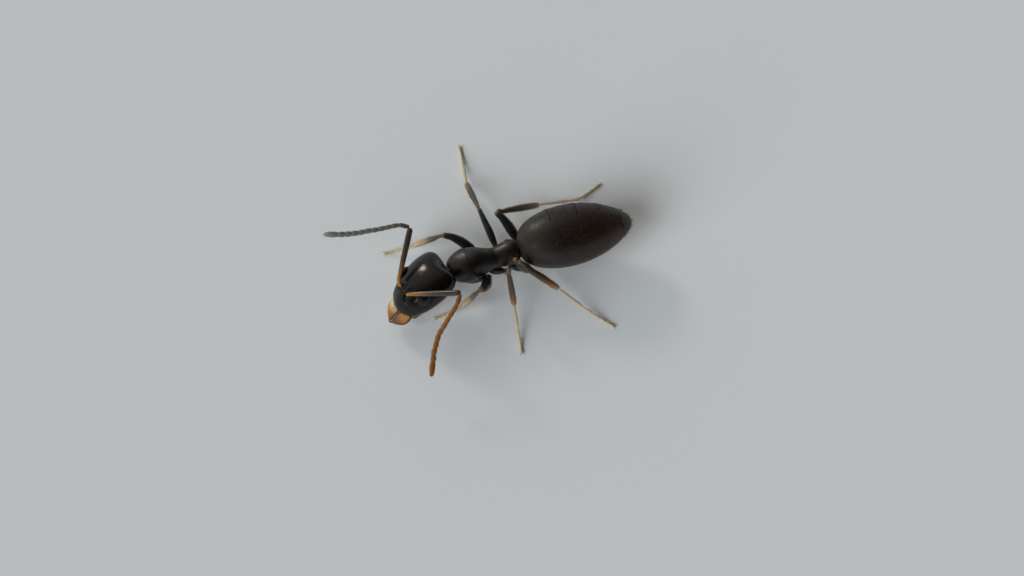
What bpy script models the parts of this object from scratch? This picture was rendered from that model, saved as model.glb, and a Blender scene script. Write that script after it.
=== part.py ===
"""A worker ant standing at rest, at life size: a small black house ant with pale feet.

The body is built along Y with the head towards -Y, the ant's left side at +X and the feet on z = 0.
Sizes and places are in millimetres and become metres as each mesh is made.
"""

import math

import bmesh
import bpy
from mathutils import Matrix, Vector

MM = 0.001
GAP = 0.004  # clearance between one plate and the next
SIDES = 12  # corners of each cage loop
LIMB_RESOLUTION = 2  # bevel resolution of the limbs, which gives them eight sides

# Head capsule: its centre, its turn (pitch down, roll to the right, yaw to the left) and its cage loops,
# each loop being the distance forward of the occiput, half width, height above and depth below the axis.
HEAD_CENTRE = Vector((0.088, -0.293, 0.390))
HEAD_TURN = (math.radians(25), math.radians(-16), math.radians(18))
HEAD_LENGTH = 0.69
HEAD_LOOPS = (
    (0.000, 0.180, 0.080, 0.090),
    (0.040, 0.256, 0.130, 0.130),
    (0.130, 0.298, 0.172, 0.160),
    (0.260, 0.304, 0.196, 0.172),
    (0.400, 0.286, 0.190, 0.168),
    (0.520, 0.250, 0.166, 0.152),
    (0.610, 0.206, 0.122, 0.122),
    (0.690, 0.150, 0.072, 0.076),
)
OCCIPUT_NOTCH = 0.070  # how far the middle of the rear margin lies in front of the corners

# Mesosoma (trunk): cage loops as above, from the front of the pronotum back, about a level axis.
TRUNK_HEIGHT = 0.385
TRUNK_LOOPS = (
    (0.000, 0.070, 0.045, 0.070),
    (0.050, 0.126, 0.090, 0.105),
    (0.130, 0.178, 0.140, 0.130),
    (0.220, 0.196, 0.175, 0.150),
    (0.310, 0.176, 0.180, 0.162),
    (0.400, 0.136, 0.160, 0.166),
    (0.480, 0.108, 0.112, 0.166),
    (0.530, 0.100, 0.084, 0.164),
    (0.590, 0.112, 0.112, 0.160),
    (0.670, 0.132, 0.146, 0.150),
    (0.745, 0.134, 0.148, 0.138),
    (0.795, 0.110, 0.080, 0.118),
)
# Sutures of the trunk: where each cuts the axis, and how far its top leans back, in degrees.
PRONOTAL_SUTURE = (0.300, 24)
METANOTAL_GROOVE = (0.530, 8)

# Gaster: where its front face stands, its turn to the left, and its cage loops from the front back.
GASTER_FRONT = Vector((-0.010, 0.790, 0.430))
GASTER_TURN = math.radians(-4.2)
GASTER_LOOPS = (
    (0.000, 0.125, 0.110, 0.130),
    (0.070, 0.212, 0.198, 0.205),
    (0.200, 0.286, 0.264, 0.260),
    (0.370, 0.330, 0.302, 0.295),
    (0.560, 0.340, 0.312, 0.305),
    (0.760, 0.314, 0.286, 0.284),
    (0.930, 0.260, 0.234, 0.236),
    (1.070, 0.186, 0.166, 0.170),
    (1.170, 0.112, 0.098, 0.100),
    (1.230, 0.045, 0.040, 0.040),
)
GASTER_SUTURES = (0.370, 0.660, 0.900, 1.090)

# Legs: the hip is the joint of coxa and trochanter; the toe is the end of the foot on the floor.
HIPS = {"front": Vector((0.112, 0.418, 0.213)), "middle": Vector((0.106, 0.609, 0.212)),
        "hind": Vector((0.152, 0.866, 0.166))}
COXA_TOPS = {"front": Vector((0.090, 0.170, 0.270)), "middle": Vector((0.070, 0.450, 0.270)),
             "hind": Vector((0.072, 0.660, 0.270))}
POSE = {
    ("front", "left"): ((0.394, 0.229, 0.528), (0.320, 0.073, 0.154), (0.297, -0.227)),
    ("front", "right"): ((-0.410, 0.092, 0.405), (-0.540, -0.175, 0.121), (-0.602, -0.481)),
    ("middle", "left"): ((0.312, 0.570, 0.649), (0.521, 0.565, 0.212), (0.975, 0.495)),
    ("middle", "right"): ((-0.620, 0.563, 0.348), (-1.059, 0.579, 0.124), (-1.551, 0.671)),
    ("hind", "left"): ((0.198, 0.676, 0.597), (0.504, 1.061, 0.250), (0.994, 1.504)),
    ("hind", "right"): ((-0.476, 0.705, 0.426), (-0.572, 1.214, 0.120), (-0.647, 1.922)),
}
COXA_RADIUS = {"front": 0.062, "middle": 0.052, "hind": 0.056}
FEMUR_RADIUS = {"front": 0.056, "middle": 0.041, "hind": 0.055}
TIBIA_RADIUS = {"front": 0.034, "middle": 0.035, "hind": 0.038}
TARSUS_RADIUS = 0.0175
FEMUR_BOW = {"front": 0.070, "middle": 0.040, "hind": 0.068}  # how far each femur arches, outwards and up
# Outline of each segment: share of its length, share of its radius.
COXA_OUTLINE = ((0.0, 0.60), (0.20, 0.96), (0.48, 1.0), (0.78, 0.76), (1.0, 0.38))
FEMUR_OUTLINE = ((0.0, 0.40), (0.08, 0.62), (0.15, 0.52), (0.28, 0.90), (0.45, 1.0), (0.70, 0.84),
                 (0.88, 0.62), (0.96, 0.58), (1.0, 0.34))
TIBIA_OUTLINE = ((0.0, 0.36), (0.05, 0.62), (0.25, 0.78), (0.60, 1.0), (0.86, 0.92), (0.97, 0.66),
                 (1.0, 0.42))
TARSOMERES = (0.44, 0.62, 0.75, 0.84, 1.0)  # where each of the five ends along the foot
FOOT_BENDS = {("hind", "right"): Vector((0.075, 0, 0))}  # how far a foot's second joint lies off its line

# Antennae: each scape lifts off its socket and runs straight; the funiculus curves on from its tip.
SOCKET = Vector((0.090, -0.142, 0.150))  # in the head's own frame, on the left side
SCAPE_LIFT = 0.055
SCAPE_TIPS = {"left": (0.474, -0.005, 0.760), "right": (-0.435, -0.249, 0.727)}
FUNICULI = {
    "left": ((0.488, -0.010, 0.756), (0.520, -0.034, 0.735), (0.569, -0.082, 0.702), (0.636, -0.171, 0.653),
             (0.702, -0.260, 0.604), (0.782, -0.359, 0.541), (0.922, -0.455, 0.449), (1.099, -0.540, 0.339)),
    "right": ((-0.443, -0.260, 0.730), (-0.494, -0.345, 0.744), (-0.529, -0.552, 0.722),
              (-0.588, -0.862, 0.697), (-0.675, -1.130, 0.695)),
}
ANTENNOMERES = 11
SCAPE_RADIUS = 0.029
FUNICULUS_RADII = (0.023, 0.034)
SCAPE_OUTLINE = ((0.0, 0.45), (0.03, 0.60), (0.12, 0.72), (0.55, 1.0), (0.90, 1.05), (0.98, 0.85),
                 (1.0, 0.50))

# Compound eyes and mouthparts, in the head's own frame (front is -Y), left side.
EYE_CENTRE = Vector((0.242, -0.048, 0.094))
EYE_RADII = Vector((0.050, 0.080, 0.066))
EYE_TURN = math.radians(-24)
MANDIBLE_OUTLINE = ((0.155, -0.250), (0.190, -0.330), (0.170, -0.408), (0.113, -0.466), (0.040, -0.498),
                    (0.006, -0.502), (0.006, -0.350), (0.040, -0.265))
MANDIBLE_THICKNESS = 0.070
MANDIBLE_HEIGHT = -0.025
PALPS = {
    "maxillary_palp": ((0.070, -0.235, -0.120), (0.080, -0.300, -0.142), (0.086, -0.310, -0.178),
                       (0.088, -0.235, -0.202), (0.080, -0.140, -0.208)),
    "labial_palp": ((0.026, -0.250, -0.120), (0.034, -0.315, -0.145), (0.040, -0.325, -0.180),
                    (0.042, -0.265, -0.204)),
}
PALP_RADIUS = 0.011

BLACK = ("black_cuticle", (0.0052, 0.0048, 0.0045), 0.28)
DARK_BROWN = ("dark_brown_cuticle", (0.0130, 0.0078, 0.0050), 0.34)
BROWN = ("brown_cuticle", (0.1120, 0.0430, 0.0150), 0.36)
ORANGE = ("orange_cuticle", (0.3600, 0.1450, 0.0450), 0.32)
PALE = ("pale_cuticle", (0.4600, 0.3700, 0.2500), 0.45)


def clear_scene():
    for old in list(bpy.data.objects):
        bpy.data.objects.remove(old, do_unlink=True)


def new_collection(name):
    collection = bpy.data.collections.new(name)
    bpy.context.scene.collection.children.link(collection)
    return collection


def material(finish):
    """The Principled material of one kind of cuticle, made once."""
    name, colour, roughness = finish
    found = bpy.data.materials.get(name)
    if found:
        return found
    made = bpy.data.materials.new(name)
    made.use_nodes = True
    shader = made.node_tree.nodes["Principled BSDF"]
    shader.inputs["Base Color"].default_value = (*colour, 1.0)
    shader.inputs["Roughness"].default_value = roughness
    shader.inputs["Metallic"].default_value = 0.0
    return made


def add_object(name, mesh, finish):
    """Puts a mesh in the ant's collection as a named part."""
    part = bpy.data.objects.new(name, mesh)
    mesh.materials.clear()
    mesh.materials.append(material(finish))
    ANT.objects.link(part)
    return part


def evaluated_mesh(part):
    """The part's mesh with its modifiers applied, in world coordinates."""
    graph = bpy.context.evaluated_depsgraph_get()
    mesh = bpy.data.meshes.new_from_object(part.evaluated_get(graph))
    mesh.transform(part.matrix_world)
    return mesh


def cage(loops, notch=0.0):
    """A closed cage of elliptic loops along +Y, each with its own height above and depth below the axis.

    The loops are swelled so that the subdivided surface, which lies inside its cage, has the stated sizes.
    """
    swell = 3 / (2 + math.cos(2 * math.pi / SIDES))
    cage_mesh = bmesh.new()
    rings = []
    for along, half_width, up, down in loops:
        ring = []
        for step in range(SIDES):
            angle = 2 * math.pi * (step + 0.5) / SIDES
            height = up if math.sin(angle) > 0 else down
            x = half_width * math.cos(angle) * swell
            z = height * math.sin(angle) * swell
            ring.append(cage_mesh.verts.new((x, along, z)))
        rings.append(ring)
    for ring, following in zip(rings, rings[1:]):
        for step in range(SIDES):
            after = (step + 1) % SIDES
            cage_mesh.faces.new((ring[step], ring[after], following[after], following[step]))
    for ring, turn in ((rings[0], -1), (rings[-1], 1)):
        cage_mesh.faces.new(ring[::turn])
    for ring in rings[:2]:
        for vertex in ring:
            vertex.co.y += notch * math.exp(-((vertex.co.x / 0.10) ** 2))
    bmesh.ops.recalc_face_normals(cage_mesh, faces=cage_mesh.faces)
    return cage_mesh


def soft_form(name, loops, place, finish, notch=0.0):
    """A cage of loops, set in place and rounded by one level of subdivision."""
    form = cage(loops, notch)
    bmesh.ops.transform(form, matrix=Matrix.Scale(MM, 4) @ place, verts=form.verts)
    mesh = bpy.data.meshes.new(name)
    form.to_mesh(mesh)
    form.free()
    part = add_object(name, mesh, finish)
    rounding = part.modifiers.new("rounding", "SUBSURF")
    rounding.levels = 1
    rounding.render_levels = 1
    return part


def half_space(mesh, point, normal):
    """Keeps what lies behind the plane, and closes the cut."""
    cut = bmesh.new()
    cut.from_mesh(mesh)
    geometry = cut.verts[:] + cut.edges[:] + cut.faces[:]
    bmesh.ops.bisect_plane(cut, geom=geometry, plane_co=point, plane_no=normal, clear_outer=True, dist=1e-9)
    open_edges = [edge for edge in cut.edges if edge.is_boundary]
    bmesh.ops.holes_fill(cut, edges=open_edges, sides=0)
    bmesh.ops.recalc_face_normals(cut, faces=cut.faces)
    kept = bpy.data.meshes.new("kept")
    cut.to_mesh(kept)
    cut.free()
    return kept


def part_by_planes(whole, names, planes):
    """Divides a whole form into plates with thin cuts, each plane facing along the body."""
    mesh = evaluated_mesh(whole)
    finish_slot = whole.data.materials[0]
    bpy.data.objects.remove(whole, do_unlink=True)
    plates = []
    for index, name in enumerate(names):
        piece = mesh.copy()
        if index > 0:
            point, normal = planes[index - 1]
            piece = half_space(piece, point + normal * GAP * MM / 2, -normal)
        if index < len(planes):
            point, normal = planes[index]
            piece = half_space(piece, point - normal * GAP * MM / 2, normal)
        plate = bpy.data.objects.new(name, piece)
        piece.materials.clear()
        piece.materials.append(finish_slot)
        ANT.objects.link(plate)
        plates.append(plate)
    return plates


def limb(name, points, radii, finish):
    """A round limb of changing radius along the points, as a mesh with closed ends."""
    curve = bpy.data.curves.new(name, "CURVE")
    curve.dimensions = "3D"
    curve.bevel_depth = MM
    curve.bevel_resolution = LIMB_RESOLUTION
    curve.use_fill_caps = True
    spline = curve.splines.new("POLY")
    spline.points.add(len(points) - 1)
    for knot, point, radius in zip(spline.points, points, radii):
        knot.co = (*(point * MM), 1.0)
        knot.radius = radius
    rail = bpy.data.objects.new(name + "_rail", curve)
    bpy.context.scene.collection.objects.link(rail)
    mesh = evaluated_mesh(rail)
    bpy.data.objects.remove(rail, do_unlink=True)
    welded = bmesh.new()
    welded.from_mesh(mesh)
    bmesh.ops.remove_doubles(welded, verts=welded.verts, dist=1e-8)
    bmesh.ops.recalc_face_normals(welded, faces=welded.faces)
    welded.to_mesh(mesh)
    welded.free()
    return add_object(name, mesh, finish)


def smooth_path(knots, count):
    """Points at even steps along a smooth curve through the knots."""
    knots = [Vector(knot) for knot in knots]
    padded = [2 * knots[0] - knots[1], *knots, 2 * knots[-1] - knots[-2]]
    fine = []
    for before, start, end, after in zip(padded, padded[1:], padded[2:], padded[3:]):
        for step in range(16):
            t = step / 16
            fine.append(0.5 * (2 * start + (end - before) * t
                               + (2 * before - 5 * start + 4 * end - after) * t ** 2
                               + (3 * start - before - 3 * end + after) * t ** 3))
    fine.append(knots[-1])
    lengths = [0.0]
    for start, end in zip(fine, fine[1:]):
        lengths.append(lengths[-1] + (end - start).length)
    path = []
    for step in range(count + 1):
        target = lengths[-1] * step / count
        index = max(i for i in range(len(fine) - 1) if lengths[i] <= target + 1e-12)
        share = (target - lengths[index]) / (lengths[index + 1] - lengths[index])
        path.append(fine[index].lerp(fine[index + 1], share))
    return path


def straight_limb(name, start, end, outline, radius, finish, bow=Vector()):
    """A limb from start to end with the given outline, arched by the bow at its middle."""
    points = []
    for share, _ in outline:
        points.append(start.lerp(end, share) + bow * math.sin(math.pi * share))
    return limb(name, points, [radius * width for _, width in outline], finish)


def swelled_copy(part):
    """A copy of the part grown by the clearance, to cut its neighbours with."""
    mesh = evaluated_mesh(part)
    grown = bmesh.new()
    grown.from_mesh(mesh)
    bmesh.ops.remove_doubles(grown, verts=grown.verts, dist=1e-8)
    grown.normal_update()
    offsets = [vertex.normal * GAP * MM for vertex in grown.verts]
    for vertex, offset in zip(grown.verts, offsets):
        vertex.co += offset
    grown.to_mesh(mesh)
    grown.free()
    cutter = bpy.data.objects.new(part.name + "_cutter", mesh)
    cutter.hide_render = True
    cutter.display_type = "WIRE"
    CUTTERS.objects.link(cutter)
    return cutter


def trim(part, cutters):
    """Cuts the part back from its neighbours, so that they meet and don't overlap."""
    for cutter in cutters:
        cut = part.modifiers.new("clear_" + cutter.name, "BOOLEAN")
        cut.operation = "DIFFERENCE"
        cut.object = cutter


def head_place():
    pitch, roll, yaw = HEAD_TURN
    turn = Matrix.Rotation(yaw, 4, "Z") @ Matrix.Rotation(pitch, 4, "X") @ Matrix.Rotation(roll, 4, "Y")
    return Matrix.Translation(HEAD_CENTRE) @ turn


def side_of(side):
    return 1 if side == "left" else -1


def in_head(point, side):
    """A place given for the left side of the head, on either side, in the ant's frame."""
    return head_place() @ Vector((point[0] * side_of(side), point[1], point[2]))


def make_head():
    """The head capsule: heart-shaped from the front, with its face towards -Y."""
    flip = Matrix.Translation((0, HEAD_LENGTH / 2, 0)) @ Matrix.Diagonal((1, -1, 1, 1))
    head = soft_form("head", HEAD_LOOPS, head_place() @ flip, BLACK, OCCIPUT_NOTCH)
    mirrored = bmesh.new()
    mirrored.from_mesh(head.data)
    bmesh.ops.recalc_face_normals(mirrored, faces=mirrored.faces)
    mirrored.to_mesh(head.data)
    mirrored.free()
    return head


def make_eye(side, cutters):
    """A compound eye: a low dome on the side of the head, longer than it is wide."""
    globe = bmesh.new()
    bmesh.ops.create_uvsphere(globe, u_segments=12, v_segments=8, radius=1.0)
    lean = Matrix.Rotation(EYE_TURN * side_of(side), 4, "Y")
    at = Matrix.Translation((EYE_CENTRE.x * side_of(side), EYE_CENTRE.y, EYE_CENTRE.z))
    shape = Matrix.Scale(MM, 4) @ head_place() @ at @ lean @ Matrix.Diagonal((*EYE_RADII, 1.0))
    bmesh.ops.transform(globe, matrix=shape, verts=globe.verts)
    mesh = bpy.data.meshes.new("eye")
    globe.to_mesh(mesh)
    globe.free()
    eye = add_object("eye_" + side, mesh, BLACK)
    trim(eye, cutters)
    return eye


def make_mandible(side, cutters):
    """A mandible: a triangular blade, closed against the other along the midline."""
    blade = bmesh.new()
    outline = [blade.verts.new((x * side_of(side), y, 0)) for x, y in MANDIBLE_OUTLINE]
    face = blade.faces.new(outline)
    top = bmesh.ops.extrude_face_region(blade, geom=[face])["geom"]
    raised = [item for item in top if isinstance(item, bmesh.types.BMVert)]
    bmesh.ops.translate(blade, vec=(0, 0, MANDIBLE_THICKNESS), verts=raised)
    for vertex in blade.verts:
        toward_tip = (-0.235 - vertex.co.y) / 0.23
        level = vertex.co.z - MANDIBLE_THICKNESS / 2
        vertex.co.z = MANDIBLE_HEIGHT + level * (1 - 0.55 * toward_tip) - 0.02 * toward_tip
    bmesh.ops.recalc_face_normals(blade, faces=blade.faces)
    bmesh.ops.bevel(blade, geom=blade.edges[:], offset=0.010, segments=1, profile=0.5, affect="EDGES")
    bmesh.ops.transform(blade, matrix=Matrix.Scale(MM, 4) @ head_place(), verts=blade.verts)
    mesh = bpy.data.meshes.new("mandible")
    blade.to_mesh(mesh)
    blade.free()
    mandible = add_object("mandible_" + side, mesh, ORANGE)
    trim(mandible, cutters)
    return mandible


def make_palp(kind, side, cutters):
    """A jointed mouth feeler, curling forward from under the head."""
    knots = [in_head(point, side) for point in PALPS[kind]]
    path = smooth_path(knots, 9 if kind == "maxillary_palp" else 6)
    radii = [PALP_RADIUS * (0.72 if step % 2 else 1.0) for step in range(len(path))]
    palp = limb(f"{kind}_{side}", path, radii, BROWN)
    trim(palp, cutters)
    return palp


def make_antenna(side, cutters):
    """Scape and funiculus. The neck of the scape bends where it leaves its socket."""
    base = in_head(SOCKET, side)
    lifted = in_head(SOCKET + Vector((0, -0.015, SCAPE_LIFT)), side)
    tip = Vector(SCAPE_TIPS[side])
    points = [base, base.lerp(lifted, 0.55)]
    radii = [SCAPE_RADIUS * 0.50, SCAPE_RADIUS * 0.52]
    for share, width in SCAPE_OUTLINE[1:]:
        points.append(lifted.lerp(tip, share))
        radii.append(SCAPE_RADIUS * width)
    scape = limb("scape_" + side, points, radii, DARK_BROWN)
    trim(scape, cutters)
    path = smooth_path(FUNICULI[side], ANTENNOMERES * 2)
    thin, thick = FUNICULUS_RADII
    radii = []
    for step in range(len(path)):
        share = step / (len(path) - 1)
        waist = 1.0 if step % 2 else 0.78
        radii.append((thin + (thick - thin) * share) * waist)
    radii[0] = thin * 0.6
    radii[-1] = thick * 0.35
    funiculus = limb("funiculus_" + side, path, radii, BROWN)
    trim(funiculus, [swelled_copy(scape)])


def make_leg(pair, side, cutters):
    """Coxa, femur with its trochanter, tibia, and the five-jointed foot with a flat underneath."""
    mirror = Vector((side_of(side), 1, 1))
    hip = HIPS[pair] * mirror
    coxa_top = COXA_TOPS[pair] * mirror
    knee, ankle, toe = POSE[pair, side]
    knee, ankle, toe = Vector(knee), Vector(ankle), Vector((*toe, 0))
    end = f"{pair}_{side}"

    coxa = straight_limb("coxa_" + end, coxa_top, hip, COXA_OUTLINE, COXA_RADIUS[pair], DARK_BROWN)
    trim(coxa, cutters)

    bow = Vector((0.8 * side_of(side), 0, 0.6)) * FEMUR_BOW[pair]
    femur = straight_limb("femur_" + end, hip, knee, FEMUR_OUTLINE, FEMUR_RADIUS[pair], BLACK, bow)
    trim(femur, [swelled_copy(coxa)])

    tibia_top = knee.lerp(ankle, 0.02)
    tibia = straight_limb("tibia_" + end, tibia_top, ankle, TIBIA_OUTLINE, TIBIA_RADIUS[pair], DARK_BROWN)
    trim(tibia, [swelled_copy(femur)])

    tarsus = make_foot("tarsus_" + end, ankle, toe, FOOT_BENDS.get((pair, side), Vector()))
    trim(tarsus, [swelled_copy(tibia)])


def make_foot(name, ankle, toe, bend):
    """The tarsus: it comes down from the ankle and lies on the floor, with a flat cut along its sole."""
    sole_height = TARSUS_RADIUS * 0.62
    points = []
    radii = []
    starts = (0.0, *TARSOMERES[:-1])
    for number, (start, end) in enumerate(zip(starts, TARSOMERES)):
        for share, width in ((0.12, 0.74), (0.90, 1.0)):
            along = start + (end - start) * share
            level = ankle.lerp(toe, along) + bend * min(along / TARSOMERES[1], (1 - along) / (1 - TARSOMERES[1]))
            fall = (1 - along) ** 1.7
            level.z = sole_height + (ankle.z - sole_height) * fall
            points.append(level)
            radii.append(TARSUS_RADIUS * width * (1.0 if number else 0.92))
    points[0] = ankle
    points.append(Vector((toe.x, toe.y, sole_height)))
    radii.append(TARSUS_RADIUS * 0.60)
    foot = limb(name, points, radii, PALE)
    flat = half_space(foot.data, Vector((0, 0, 0)), Vector((0, 0, -1)))
    flat.materials.clear()
    flat.materials.append(material(PALE))
    foot.data = flat
    return foot


def make_trunk():
    """Pronotum, mesothorax and propodeum, parted along the two sutures of the back."""
    whole = soft_form("trunk", TRUNK_LOOPS, Matrix.Translation((0, 0, TRUNK_HEIGHT)), BLACK)
    planes = []
    for along, lean in (PRONOTAL_SUTURE, METANOTAL_GROOVE):
        normal = Matrix.Rotation(math.radians(lean), 3, "X") @ Vector((0, 1, 0))
        planes.append((Vector((0, along, TRUNK_HEIGHT)) * MM, normal))
    return part_by_planes(whole, ("pronotum", "mesothorax", "propodeum"), planes)


def make_gaster():
    """The gaster, parted into its five visible segments."""
    place = Matrix.Translation(GASTER_FRONT) @ Matrix.Rotation(GASTER_TURN, 4, "Z")
    whole = soft_form("gaster", GASTER_LOOPS, place, DARK_BROWN)
    planes = []
    for along in GASTER_SUTURES:
        normal = (place.to_3x3() @ Vector((0, 1, 0))).normalized()
        planes.append(((place @ Vector((0, along, 0))) * MM, normal))
    names = [f"gaster_segment_{number}" for number in range(1, 6)]
    return part_by_planes(whole, names, planes)


def centre_over_origin():
    """Hangs every part on one empty, set so that the middle of the ant's box stands over the origin."""
    parts = [part for part in ANT.objects if part.type == "MESH"]
    lows = [math.inf, math.inf]
    highs = [-math.inf, -math.inf]
    for part in parts:
        mesh = evaluated_mesh(part)
        for vertex in mesh.vertices:
            for axis in (0, 1):
                lows[axis] = min(lows[axis], vertex.co[axis])
                highs[axis] = max(highs[axis], vertex.co[axis])
        bpy.data.meshes.remove(mesh)
    root = bpy.data.objects.new("ant", None)
    root.empty_display_size = MM
    ANT.objects.link(root)
    root.location = (-(lows[0] + highs[0]) / 2, -(lows[1] + highs[1]) / 2, 0)
    for part in parts + list(CUTTERS.objects):
        part.parent = root


def shade():
    for part in ANT.objects:
        if part.type == "MESH":
            part.data.shade_smooth()
            part.data.set_sharp_from_angle(angle=math.radians(50))


clear_scene()
ANT = new_collection("ant")
CUTTERS = new_collection("cutters")

head = make_head()
trunk = make_trunk()
gaster = make_gaster()
head_cutter = swelled_copy(head)
trunk_cutters = [swelled_copy(plate) for plate in trunk]
gaster_cutter = swelled_copy(gaster[0])

neck = straight_limb("neck", Vector((0.062, -0.060, 0.420)), Vector((0.0, 0.060, 0.385)),
                     ((0.0, 1.0), (0.5, 0.9), (1.0, 1.0)), 0.062, BLACK)
trim(neck, [head_cutter, trunk_cutters[0]])
petiole = straight_limb("petiole", Vector((0.0, 0.700, 0.315)), Vector((0.0, 0.900, 0.330)),
                        ((0.0, 0.8), (0.45, 1.0), (0.7, 0.95), (1.0, 0.75)), 0.062, DARK_BROWN)
trim(petiole, [trunk_cutters[2], gaster_cutter])

for side in ("left", "right"):
    make_eye(side, [head_cutter])
    make_mandible(side, [head_cutter])
    make_palp("maxillary_palp", side, [head_cutter])
    make_palp("labial_palp", side, [head_cutter])
    make_antenna(side, [head_cutter])
    for pair in ("front", "middle", "hind"):
        make_leg(pair, side, trunk_cutters)

centre_over_origin()
shade()
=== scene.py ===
"""Looks of a worker ant: a small black house ant with pale feet, at life size.

Every plate, limb and feeler is remade finer than its solid, in the solid's own place, and clothed in hairs.
Lengths are in millimetres and become metres through MM. Numbers of hairs are per square millimetre.
"""

import math

import bpy
import numpy as np
from mathutils import Matrix, Vector


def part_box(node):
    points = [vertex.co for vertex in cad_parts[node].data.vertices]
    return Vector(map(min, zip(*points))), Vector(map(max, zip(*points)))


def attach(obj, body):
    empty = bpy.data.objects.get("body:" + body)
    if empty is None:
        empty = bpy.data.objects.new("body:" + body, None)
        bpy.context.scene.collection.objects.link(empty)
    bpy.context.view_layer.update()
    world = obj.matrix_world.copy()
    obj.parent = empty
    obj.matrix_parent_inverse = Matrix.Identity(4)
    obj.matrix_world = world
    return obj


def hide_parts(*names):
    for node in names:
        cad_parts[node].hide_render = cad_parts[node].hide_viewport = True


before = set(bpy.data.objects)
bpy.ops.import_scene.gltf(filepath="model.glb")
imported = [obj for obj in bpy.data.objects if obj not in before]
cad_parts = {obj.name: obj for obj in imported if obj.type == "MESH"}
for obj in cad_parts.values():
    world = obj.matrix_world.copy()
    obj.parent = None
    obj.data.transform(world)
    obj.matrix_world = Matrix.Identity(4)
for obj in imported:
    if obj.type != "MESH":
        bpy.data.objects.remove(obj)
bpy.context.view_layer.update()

MM = 0.001
SIDES = {"left": 1, "right": -1}
PAIRS = ("front", "middle", "hind")
PIECES = {}  # every finished piece by its name
COURSES = {}  # the middle line of every leg piece and feeler
SOCKETS = {}  # where each feeler starts, inside the head
DOME_ANGLE = 60  # edges of eyes and hairs sharper than this are shaded sharp, in degrees


# ---- handling of pieces

def deselect():
    if bpy.context.mode != "OBJECT":
        bpy.ops.object.mode_set(mode="OBJECT")
    bpy.ops.object.select_all(action="DESELECT")


def pick(*pieces):
    deselect()
    for piece in pieces:
        piece.select_set(True)
    bpy.context.view_layer.objects.active = pieces[0]


def open_mesh(piece, kind="VERT"):
    """Edit mode with everything selected."""
    pick(piece)
    bpy.ops.object.mode_set(mode="EDIT")
    bpy.ops.mesh.select_mode(type=kind)
    bpy.ops.mesh.select_all(action="SELECT")


def modify(piece, kind, **settings):
    """Adds one modifier and applies it."""
    pick(piece)
    modifier = piece.modifiers.new(kind, kind)
    for name, value in settings.items():
        setattr(modifier, name, value)
    bpy.ops.object.modifier_apply(modifier=modifier.name)


def join(pieces):
    pick(*pieces)
    bpy.ops.object.join()
    return bpy.context.active_object


def new_object(name, data):
    made = bpy.data.objects.new(name, data)
    bpy.context.scene.collection.objects.link(made)
    return made


def primitive(kind, **settings):
    """One of Blender's own shapes."""
    deselect()
    getattr(bpy.ops.mesh, "primitive_%s_add" % kind)(**settings)
    return bpy.context.active_object


def discard(*pieces):
    for piece in pieces:
        bpy.data.objects.remove(piece, do_unlink=True)


def settle(piece):
    """Puts the object at the origin, unturned and unscaled, with its place in its mesh."""
    pick(piece)
    bpy.ops.object.transform_apply(location=True, rotation=True, scale=True)


def outward(piece):
    open_mesh(piece)
    bpy.ops.mesh.normals_make_consistent(inside=False)
    deselect()


def finish_piece(piece, name, nodes, finish, angle=40):
    """Shades the piece, gives it its finish, hangs it from the body's root and hides the solids it stands in
    for.
    """
    piece.name = name
    pick(piece)
    bpy.ops.object.shade_smooth_by_angle(angle=math.radians(angle))
    piece.data.materials.clear()
    piece.data.materials.append(finish)
    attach(piece, "root")
    if nodes:
        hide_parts(*nodes)
    PIECES[name] = piece
    return piece


# ---- measuring meshes and solids

def read(items, name, width=1, kind=float):
    """One property of all points, corners or triangles of a mesh, in rows of that width."""
    values = np.empty(len(items) * width, kind)
    items.foreach_get(name, values)
    return values.reshape(-1, width) if width > 1 else values


def points_of(piece):
    return read(piece.data.vertices, "co", 3)


def normals_of(piece):
    return read(piece.data.vertices, "normal", 3)


def put_points(piece, places):
    piece.data.vertices.foreach_set("co", places.astype(np.float32).ravel())
    piece.data.update()


def put_along(piece, shares):
    """Keeps a number from 0 to 1 at each point, which the finish turns into a colour."""
    piece.data.attributes.new("along", "FLOAT", "POINT").data.foreach_set("value", shares)


def box_of(node):
    """The lowest and highest corners of a solid, and the middle between them."""
    low, high = (Vector(corner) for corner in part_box(node))
    return low, high, (low + high) / 2


def middle_of(node):
    return box_of(node)[2]


CUTS = 13  # places where a limb's solid is cut to find its course
END_SHARE = 0.03  # share of its length left uncut at each end


def course_of(node, before):
    """The middle line and radii of a limb's solid, from the end nearest the solid before it."""
    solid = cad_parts[node]
    places = points_of(solid)
    edges = np.array([edge.vertices[:] for edge in solid.data.edges])
    middle = places.mean(axis=0)
    chord = np.linalg.svd(places - middle, full_matrices=False)[2][0]
    along = (places - middle) @ chord
    ends = [middle + chord * along.min(), middle + chord * along.max()]
    start = np.array(middle_of(before))
    if np.linalg.norm(ends[1] - start) < np.linalg.norm(ends[0] - start):
        chord, along = -chord, -along
    low, high = along.min(), along.max()
    line, radii = [], []
    for share in np.linspace(END_SHARE, 1 - END_SHARE, CUTS):
        level = low + (high - low) * share
        first, second = along[edges[:, 0]], along[edges[:, 1]]
        crossing = (first - level) * (second - level) < 0
        part = ((level - first[crossing]) / (second[crossing] - first[crossing]))[:, None]
        cuts = places[edges[crossing, 0]] * (1 - part) + places[edges[crossing, 1]] * part
        centre = cuts.mean(axis=0)
        line.append(centre)
        radii.append(np.linalg.norm(cuts - centre, axis=1).mean())
    reach = (high - low) * END_SHARE
    line.insert(0, line[0] - chord * reach)
    line.append(line[-1] + chord * reach)
    radii = [radii[0], *radii, radii[-1]]
    return [Vector(point) for point in line], radii


def fade(values, start, over):
    """From 0 at start to 1 a distance over further on."""
    return np.clip((values - start) / over, 0, 1)


# ---- nodes of a finish

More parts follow.
